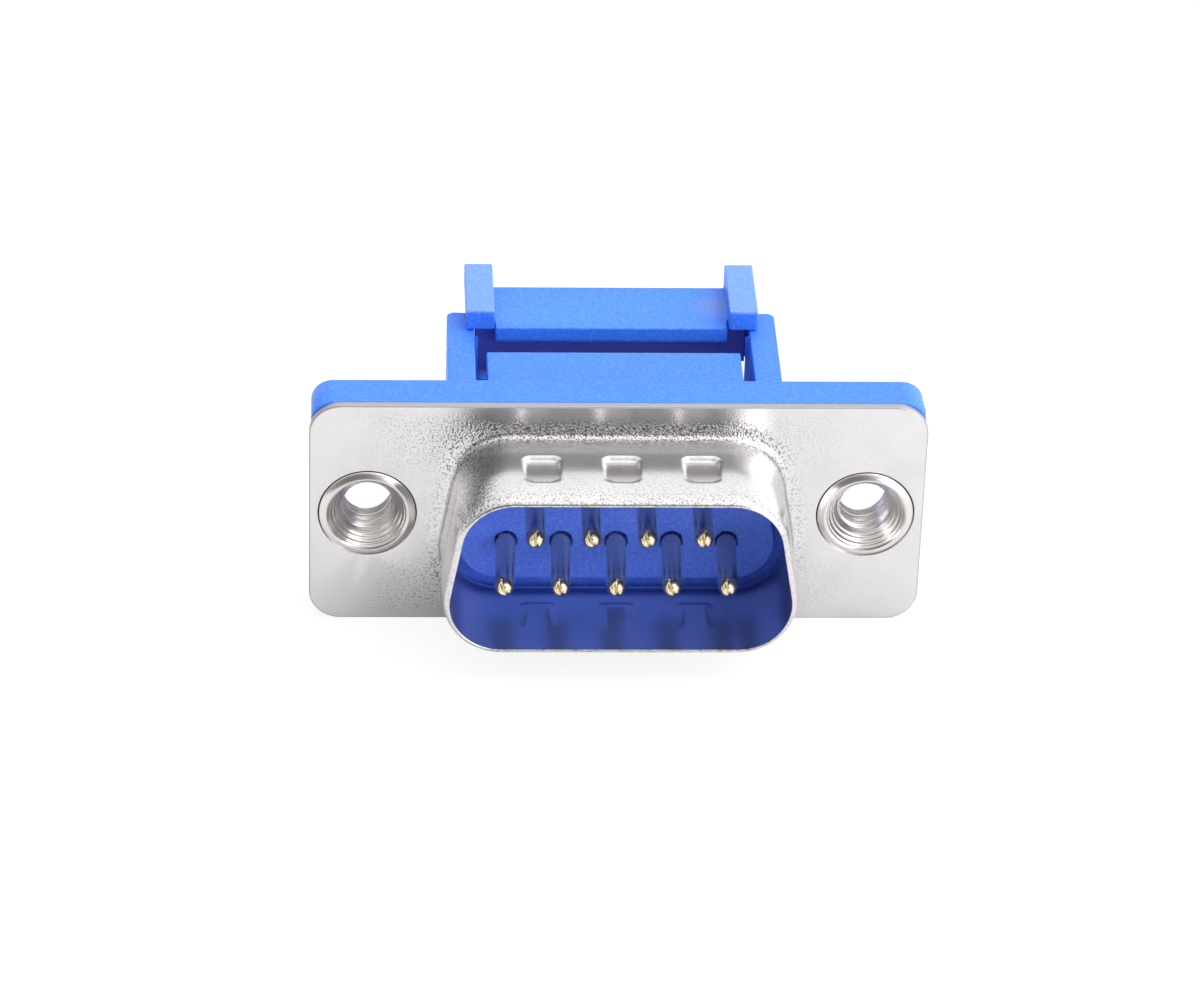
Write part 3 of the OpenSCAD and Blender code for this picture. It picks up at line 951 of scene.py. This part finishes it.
@dataclass
class ThreadedRivet:
    """A hollow rivet with a trumpet mouth, an internal thread and a rear collar."""

    finish: bpy.types.Material
    side: int
    pitch_between: float = 24.99
    back_y: float = 2.57
    sheet: float = 0.4
    collar_r: float = 2.35
    collar: float = 0.55
    collar_rounding: float = 0.1
    barrel_r: float = 1.9
    # The bead: where its flank starts, its height, a fullness that is 2 if round, its crest
    bead_r: float = 2.41
    bead_y: float = 0.03
    bead_out: float = 0.18
    bead_fullness: float = 1.3
    crest_r: float = 2.08
    # The trumpet's section as radius and place along Y, and the turning ridges on it
    flare: tuple[Pair, ...] = (
        (2.04, -0.172), (2.0, -0.145), (1.96, -0.1), (1.91, -0.035), (1.86, 0.04), (1.81, 0.13),
        (1.74, 0.23), (1.67, 0.33), (1.6, 0.42), (1.54, 0.49), (1.5, 0.56),
    )
    ridge: float = 0.009
    ridges: int = 4
    # The thread: its groove's depth is thread_flat less thread_flank times the distance from
    # its middle in pitches, held between 0 and 1. It starts gently, over thread_lead.
    minor_r: float = 1.2
    major_r: float = 1.42
    thread_pitch: float = 0.635
    thread_y: Pair = (0.66, 2.49)
    thread_lead: float = 0.3
    thread_flat: float = 1.25
    thread_flank: float = 2.875
    thread_rows: int = 18
    bore_chamfer: float = 0.12
    turns: int = 96

    def ring_section(self) -> list[Triple]:
        """Works out the section, from the rear of the bore round the outside and back through it.

        Returns:
            Distance from the axis, place along Y, and depth of the thread there.
        """
        edge = self.collar_rounding
        outside = [(self.minor_r + self.bore_chamfer, self.back_y), (self.collar_r - edge, self.back_y),
                   *arc(self.collar_r - edge, self.back_y - edge, edge, 90, 0, 3),
                   (self.collar_r, self.back_y - self.collar), (self.barrel_r, self.back_y - self.collar),
                   (self.barrel_r, self.sheet), (self.bead_r - 0.05, 0.1), (self.bead_r, self.bead_y)]
        power = 2 / self.bead_fullness
        bead = [(self.crest_r + (self.bead_r - self.crest_r) * max(0.0, math.cos(a)) ** power,
                 self.bead_y - (self.bead_out + self.bead_y) * math.sin(a) ** power)
                for a in np.radians(np.linspace(0, 90, 12))[1:]]
        share = np.linspace(0, 1, 41)
        along = np.linspace(0, 1, len(self.flare))
        ridges = self.ridge * np.sin(2 * math.pi * self.ridges * share) * np.sin(math.pi * share)
        radii, places = zip(*self.flare)
        trumpet = list(zip(np.interp(share, along, radii) + ridges,
                           np.interp(share, along, places) + ridges))
        plain = [(r, y, 0.0) for r, y in outside + bead + trumpet]
        depth = self.major_r - self.minor_r
        first, last = self.thread_y
        rows = math.ceil((last - first) / self.thread_pitch * self.thread_rows)
        bore = []
        for y in np.linspace(first, last, rows + 1):
            lead = min(1.0, (y - first) / self.thread_lead)
            bore.append((self.major_r - depth * lead, y, depth * lead))
        return plain + bore

    def build(self) -> bpy.types.Object:
        """Makes the rivet.

        Returns:
            The piece.
        """
        bm = bmesh.new()
        x0 = self.side * self.pitch_between / 2
        rows = []
        for r, y, depth in self.ring_section():
            row = []
            for k in range(self.turns):
                turn = k / self.turns
                from_middle = abs((y / self.thread_pitch - turn) % 1.0 - 0.5)
                groove = min(1.0, max(0.0, self.thread_flat - self.thread_flank * from_middle))
                reach = r + depth * groove
                angle = 2 * math.pi * turn
                row.append(bm.verts.new((x0 + reach * math.cos(angle), y, reach * math.sin(angle))))
            rows.append(row)
        grid_faces(bm, rows, close_rows=True)
        name = "left" if self.side < 0 else "right"
        return piece(f"threaded_rivet_{name}", bm, self.finish, Body.HOUSING,
                     [f"threaded_insert_{name}"], sharp_degrees=50)


@dataclass
class Contact:
    """One stamped contact: rolled pin with its seam, strip that jogs to the wire pitch, and fork.

    Contacts 1 to 5 are in the lower row, from right to left, and 6 to 9 in the upper one. Their
    tips lean to the left, more so in the lower row, and stand a little high.
    """

    number: int
    finish: bpy.types.Material
    lower_count: int = 5
    pin_pitch: float = 2.77
    row_pitch: float = 2.84
    wire_pitch: float = 1.27
    # The pin: its nose is an ellipse with bluntness below 1 for a fuller one
    radius: float = 0.5
    tip_y: float = -5.1
    nose: float = 0.75
    bluntness: float = 0.8
    lean_lower: float = 0.2
    lean_upper: float = 0.1
    lift: float = 0.08
    pin_end_y: float = 2.27
    around: int = 56
    nose_rings: int = 18
    # The rolled seam: an S of a depth and width, turned a little further on each pin
    seam_depth: float = 0.2
    seam_width: float = 0.06
    seam_bend: float = 0.13
    seam_degrees: float = 72.0
    seam_turn_degrees: float = 13.0
    shaft_seam: float = 0.072
    # The flat strip and its fork
    strip_y: float = 1.97
    strip_width: float = 1.1
    strip: float = 0.3
    strip_break: float = 0.03
    jog_y: Pair = (3.37, 5.65)
    fork_y: float = 8.75
    fork_nose: float = 0.3
    slot: float = 0.26
    slot_depth: float = 1.35

    def place(self) -> Triple:
        """Places the contact in its row and among the wires.

        Returns:
            X of the pin, X of the fork, and Z of both.
        """
        n, lower = self.number, self.number <= self.lower_count
        pin_x = (3 - n if lower else 7.5 - n) * self.pin_pitch
        wire = 2 * (n - 1) if lower else 2 * (n - self.lower_count) - 1
        return pin_x, (4 - wire) * self.wire_pitch, (-1 if lower else 1) * self.row_pitch / 2

    def seam(self, dx: float, dz: float) -> float:
        """Depth of the rolled seam: an S across the nose.

        Args:
            dx: Distance from the pin's axis along X.
            dz: Distance from the pin's axis along Z.

        Returns:
            The depth in millimetres.
        """
        turn = math.radians(self.seam_degrees + self.seam_turn_degrees * (self.number % 3))
        along = dx * math.cos(turn) + dz * math.sin(turn)
        across = dz * math.cos(turn) - dx * math.sin(turn)
        gap = across - self.seam_bend * math.sin(math.pi * along / self.radius)
        return self.seam_depth * math.exp(-((gap / self.seam_width) ** 2))

    def build(self) -> bpy.types.Object:
        """Makes the contact.

        Returns:
            The piece.
        """
        pin_x, fork_x, z = self.place()
        bm = bmesh.new()
        self.add_pin(bm, pin_x, z)
        self.add_strip(bm, pin_x, fork_x, z)
        return piece(f"rolled_contact_{self.number}", bm, self.finish,
                     Body.HOUSING, [f"contact_{self.number}"], sharp_degrees=35)

    def add_pin(self, bm: bmesh.types.BMesh, pin_x: float, z: float) -> None:
        """Adds the pin: a bullet nose with the seam pressed into it, and a straight shaft.

        Args:
            bm: The contact's mesh.
            pin_x: X of the pin's root.
            z: Z of the pin's root.
        """
        nose = []
        for a in np.radians(np.linspace(0, 90, self.nose_rings + 1))[1:]:
            y = self.tip_y + self.nose * (1 - math.cos(a))
            nose.append((self.radius * math.sin(a) ** self.bluntness, y))
        shaft = runs([nose[-1], (self.radius, self.pin_end_y)], 0.5)[1:]
        lean = self.lean_lower if z < 0 else self.lean_upper
        rows = []
        for r, y in nose + shaft:
            row = []
            bent = max(0.0, y / self.tip_y)
            on_nose = y < nose[-1][1] - TINY
            for k in range(self.around):
                angle = 2 * math.pi * k / self.around
                dx, dz = r * math.cos(angle), r * math.sin(angle)
                on_rim = r >= 0.95 * self.radius
                press = self.seam(dx, dz)
                push = press * (self.shaft_seam / 0.6 if on_rim else 1.0) if on_nose else 0.0
                inward = 1.0 if on_nose else 1 - self.shaft_seam * press / self.radius
                row.append(bm.verts.new((pin_x - bent * lean + dx * inward, y + push,
                                         z + bent * self.lift + dz * inward)))
            rows.append(row)
        grid_faces(bm, rows, close_rows=False)
        for row, y in ((rows[0], self.tip_y + self.seam_depth), (rows[-1], self.pin_end_y)):
            middle = sum((v.co for v in row), Vector()) / self.around
            centre = bm.verts.new((middle.x, y, middle.z))
            for j, vert in enumerate(row):
                bm.faces.new((centre, vert, row[(j + 1) % self.around]))

    def add_strip(self, bm: bmesh.types.BMesh, pin_x: float, fork_x: float, z: float) -> None:
        """Adds the flat strip with its jog and its pointed fork, broken along its edges.

        Args:
            bm: The contact's mesh.
            pin_x: X of the strip's front end.
            fork_x: X of the fork.
            z: Z of the strip's middle.
        """
        half, tip, nose = self.strip_width / 2, self.fork_y, self.fork_nose
        left = [(pin_x - half, self.strip_y), (pin_x - half, self.jog_y[0]),
                (fork_x - half, self.jog_y[1]), (fork_x - half, tip - nose),
                (fork_x - half + nose / 2, tip), (fork_x - self.slot / 2, tip - nose / 2)]
        slot = arc(fork_x, tip - self.slot_depth, self.slot / 2, 180, 360, 8)
        right = [(2 * fork_x - x, y) for x, y in reversed(left[2:])]
        right += [(2 * pin_x - x, y) for x, y in reversed(left[:2])]
        low = [bm.verts.new((x, y, z - self.strip / 2)) for x, y in left + slot + right]
        top = bmesh.ops.extrude_face_region(bm, geom=[bm.faces.new(low)])
        high = [g for g in top["geom"] if isinstance(g, bmesh.types.BMVert)]
        bmesh.ops.translate(bm, vec=(0, 0, self.strip), verts=high)
        flat = {*low, *high}
        edges = [e for e in bm.edges if flat.issuperset(e.verts) and e.calc_face_angle(0) > 1.0
                 and abs(e.verts[0].co.z - e.verts[1].co.z) < TINY]
        bmesh.ops.bevel(bm, geom=edges, offset=self.strip_break, segments=1, affect="EDGES")


@dataclass
class Mouldings:
    """The blue insulator and the sliding cover, with the flash that their mould left."""

    body_finish: MouldedPBT
    cover_finish: MouldedPBT
    body_radius: float = 0.09
    cover_radius: float = 0.08
    post_in: float = 7.03
    post_out: float = 8.4
    lip_y: float = 9.6
    lip_z: float = 4.34

    def body_flash(self) -> list[Flash]:
        """Fins inside the posts, on the left post's upper edge, and at the flange's right end.

        Returns:
            The fins.
        """
        x, out = self.post_in, self.post_out
        return [
            Flash((-x, 8.9, 1.2), (-x, 8.9, 5.0), (1, 0, 0), 0.22, 3, 0.8),
            Flash((x, 8.9, 3.8), (x, 8.9, 5.05), (-1, 0, 0), 0.23, 6, 0.9),
            Flash((x, 11.0, 2.65), (x, 11.0, 5.0), (-1, 0, 0), 0.07, 14, 0.95),
            Flash((-out, 4.6, 5.06), (-out, 7.4, 5.06), (-1, 0, 0.2), 0.07, 8),
            Flash((15.3, 2.5, 5.1), (15.3, 1.2, 5.1), (0.6, 0, 0.4), 0.12, 11),
        ]

    def cover_flash(self) -> list[Flash]:
        """Fins along the front lip's lower edge and at its left end.

        Returns:
            The fins.
        """
        y, z = self.lip_y, self.lip_z
        return [
            Flash((-5.9, y + 0.05, z), (5.9, y + 0.05, z), (0, -0.2, -1), 0.07, 21),
            Flash((-5.95, y + 0.1, 4.95), (-5.7, y, 4.8), (0, -1, 0.3), 0.16, 23),
            Flash((-5.7, y + 0.35, z + 0.02), (-5.55, y + 0.35, z + 0.02), (0, -0.6, -1), 0.22, 25),
        ]

    def build(self) -> list[bpy.types.Object]:
        """Makes both mouldings.

        Returns:
            The insulator and the cover.
        """
        body = rounded_form("insulator_body", self.body_radius)
        for fin in self.body_flash():
            fin.add_to(body)
        insulator = piece("insulator", body, self.body_finish.material(),
                          Body.HOUSING, ["insulator_body"])
        bar = rounded_form("cover", self.cover_radius)
        for fin in self.cover_flash():
            fin.add_to(bar)
        cover = piece("cable_cover", bar, self.cover_finish.material(),
                      Body.COVER, ["cover"])
        return [insulator, cover]


# ---------------------------------------------------------------- studio


@dataclass
class Studio:
    """Plain pale floor, soft lamps, a light tent with a dark opening, and the camera.

    The opening, the backdrop and the bright side are directions from the object. Angles are in
    degrees from such a direction: where its effect starts, and where it is full.
    """

    azimuth: float = -3.45
    elevation: float = 32.41
    roll: float = 1.996
    distance: float = 274.19
    lens: float = 164.154
    sensor_width: float = 36.0
    aim: Pair = (0.84184, -0.69151)
    opening: Triple = (-0.27, -0.86, 0.4)
    opening_level: float = 0.23
    opening_for_diffuse: float = 0.6
    opening_angles: Pair = (44, 19)
    backdrop: Triple = (0.0, 0.95, 0.3)
    backdrop_share: float = 0.72
    backdrop_angles: Pair = (24, 8)
    bright_side: Triple = (0.75, 0.35, 0.55)
    tent_low: float = 0.45
    tent_high: float = 1.4
    tent_colour: str = "#FFFFFB"
    tent_span: Pair = (-0.75, 0.6)
    floor_colour: float = 0.86
    floor_glow: float = 0.84
    floor_shade: float = 0.21
    floor_reach: float = 2.0

    def camera(self) -> None:
        """Sets the camera. Its aim is how far to the right and up the origin lies in its view."""
        az, el, roll = (math.radians(a) for a in (self.azimuth, self.elevation, self.roll))
        back = Vector((math.sin(az) * math.cos(el), -math.cos(az) * math.cos(el), math.sin(el)))
        right = Vector((math.cos(az), math.sin(az), 0.0))
        up = back.cross(right)
        tilted_right = math.cos(roll) * right + math.sin(roll) * up
        tilted_up = -math.sin(roll) * right + math.cos(roll) * up
        data = bpy.data.cameras.new("camera")
        data.lens = self.lens
        data.sensor_width = self.sensor_width
        data.clip_start = 0.01
        data.clip_end = 10.0
        shift = -(tilted_right * self.aim[0] + tilted_up * self.aim[1])
        place = (back * self.distance + shift) * MM
        turn = Matrix((tilted_right, tilted_up, back)).transposed().to_4x4()
        made = bpy.data.objects.new("camera", data)
        made.matrix_world = Matrix.Translation(place) @ turn
        bpy.context.scene.collection.objects.link(made)
        bpy.context.scene.camera = made

    def lamp(
        self, name: str, place: Triple, target: Triple, size: float, power: float
    ) -> None:
        """Adds a soft square lamp.

        Args:
            name: Name of the lamp.
            place: Where it stands, in millimetres.
            target: Where it points, in millimetres.
            size: Width of its square in millimetres.
            power: Power in watts.
        """
        data = bpy.data.lights.new(name, "AREA")
        data.size = size * MM
        data.energy = power
        made = bpy.data.objects.new(name, data)
        made.location = Vector(place) * MM
        away = (Vector(target) - Vector(place)).to_track_quat("-Z", "Y")
        made.rotation_euler = away.to_euler()
        bpy.context.scene.collection.objects.link(made)

    def floor(self, level: float) -> None:
        """Adds the floor that the object stands on: pale to all rays, near white to the camera.

        Args:
            level: Height of the floor in metres.
        """
        material, tree = blank_material("pale_floor")
        path = add_node(tree, "ShaderNodeLightPath")
        lit, faint = (add_node(tree, "ShaderNodeBsdfDiffuse", {}, {"Color": (grey, grey, grey, 1)})
                      for grey in (self.floor_colour, self.floor_shade))
        glow = add_node(tree, "ShaderNodeEmission", {}, {
            "Color": (1, 1, 1, 1), "Strength": self.floor_glow})
        white = add_node(tree, "ShaderNodeAddShader", {}, {
            0: glow.outputs["Emission"], 1: faint.outputs["BSDF"]})
        both = add_node(tree, "ShaderNodeMixShader", {}, {
            0: path.outputs["Is Camera Ray"], 1: lit.outputs["BSDF"], 2: white.outputs["Shader"]})
        add_node(tree, "ShaderNodeOutputMaterial", {}, {"Surface": both.outputs["Shader"]})
        mesh = bpy.data.meshes.new("floor")
        reach = self.floor_reach
        mesh.from_pydata([(-reach, -reach, level), (reach, -reach, level), (reach, reach, level),
                          (-reach, reach, level)], [], [(0, 1, 2, 3)])
        mesh.materials.append(material)
        made = bpy.data.objects.new("floor", mesh)
        bpy.context.scene.collection.objects.link(made)
        made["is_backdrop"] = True

    def toned(
        self, tree: bpy.types.NodeTree, direction: Triple, span: Pair, levels: Pair
    ) -> Socket:
        """A level that follows how nearly the light comes from a direction.

        Args:
            tree: The world's node tree.
            direction: The direction.
            span: Two cosines of the angle from it.
            levels: The level at each of them.

        Returns:
            The level's socket.
        """
        way = add_node(tree, "ShaderNodeTexCoord").outputs["Generated"]
        nearness = add_node(tree, "ShaderNodeVectorMath", {"operation": "DOT_PRODUCT"}, {
            0: way, 1: Vector(direction).normalized()})
        level = add_node(tree, "ShaderNodeMapRange", {"clamp": True}, {
            "Value": nearness.outputs["Value"], "From Min": span[0], "From Max": span[1],
            "To Min": levels[0], "To Max": levels[1]})
        return level.outputs["Result"]

    def world(self) -> None:
        """Surrounds the object with a light tent that is open, and so dark, behind the camera."""
        world = bpy.data.worlds.new("studio")
        bpy.context.scene.world = world
        world.use_nodes = True
        tree = world.node_tree
        tree.nodes.clear()
        path = add_node(tree, "ShaderNodeLightPath").outputs
        seen = add_node(tree, "ShaderNodeMath", {"operation": "MAXIMUM"}, {
            0: path["Is Camera Ray"], 1: path["Is Transmission Ray"]})
        opening, backdrop = (
            tuple(math.cos(math.radians(a)) for a in angles)
            for angles in (self.opening_angles, self.backdrop_angles)
        )
        level = add_node(tree, "ShaderNodeMath", {"operation": "MULTIPLY"}, {
            0: self.toned(tree, self.bright_side, self.tent_span, (self.tent_low, self.tent_high)),
            1: self.toned(tree, self.backdrop, backdrop, (1.0, self.backdrop_share))})
        in_opening = add_node(tree, "ShaderNodeMapRange", {"clamp": True}, {
            "Value": path["Is Diffuse Ray"], "To Min": self.opening_level,
            "To Max": self.opening_for_diffuse})
        tent = add_node(tree, "ShaderNodeMix", {"data_type": "FLOAT"}, {
            0: self.toned(tree, self.opening, opening, (0.0, 1.0)),
            2: level.outputs["Value"], 3: in_opening.outputs["Result"]})
        soft = add_node(tree, "ShaderNodeBackground", {}, {
            "Color": linear(self.tent_colour), "Strength": tent.outputs["Result"]})
        bright = add_node(tree, "ShaderNodeBackground", {}, {"Color": (1, 1, 1, 1), "Strength": 1.0})
        both = add_node(tree, "ShaderNodeMixShader", {}, {
            0: seen.outputs["Value"], 1: soft.outputs["Background"], 2: bright.outputs["Background"]})
        add_node(tree, "ShaderNodeOutputWorld", {}, {"Surface": both.outputs["Shader"]})

    def build(self, level: float) -> None:
        """Sets up the whole studio.

        Args:
            level: Height of the floor in metres.
        """
        self.camera()
        self.world()
        self.lamp("key_softbox", (210, -30, 270), (0, 2, 0), 240, 0.36)
        self.lamp("front_right_softbox", (270, -300, 60), (0, 0, 0), 230, 0.5)
        self.floor(level)
        bpy.context.scene.view_settings.view_transform = "Standard"


def main() -> None:
    """Builds every piece and the studio."""
    logging.basicConfig(level=logging.INFO, format="%(name)s %(message)s")
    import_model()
    cad_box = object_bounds()
    Studio().build(cad_box[0].z)
    DrawnShell(NickelPlate("nickel_plated_shell").material()).build()
    bright_plate = NickelPlate("nickel_plated_rivet", light="#E0DCDA", rough_flat=0.21,
                               ring_height_mm=0.008).material()
    for side in (-1, 1):
        ThreadedRivet(bright_plate, side).build()
    gold = GoldFlash("gold_flashed_bronze").material()
    for number in range(1, 10):
        Contact(number, gold).build()
    # The cover's top faces get a painted highlight, and its comb's recess painted shade.
    Mouldings(MouldedPBT("blue_pbt_body"),
             MouldedPBT("blue_pbt_cover", lit_top_z=6.16, recess_y=(10.07, 10.66))).build()


if __name__ == "__main__":
    main()
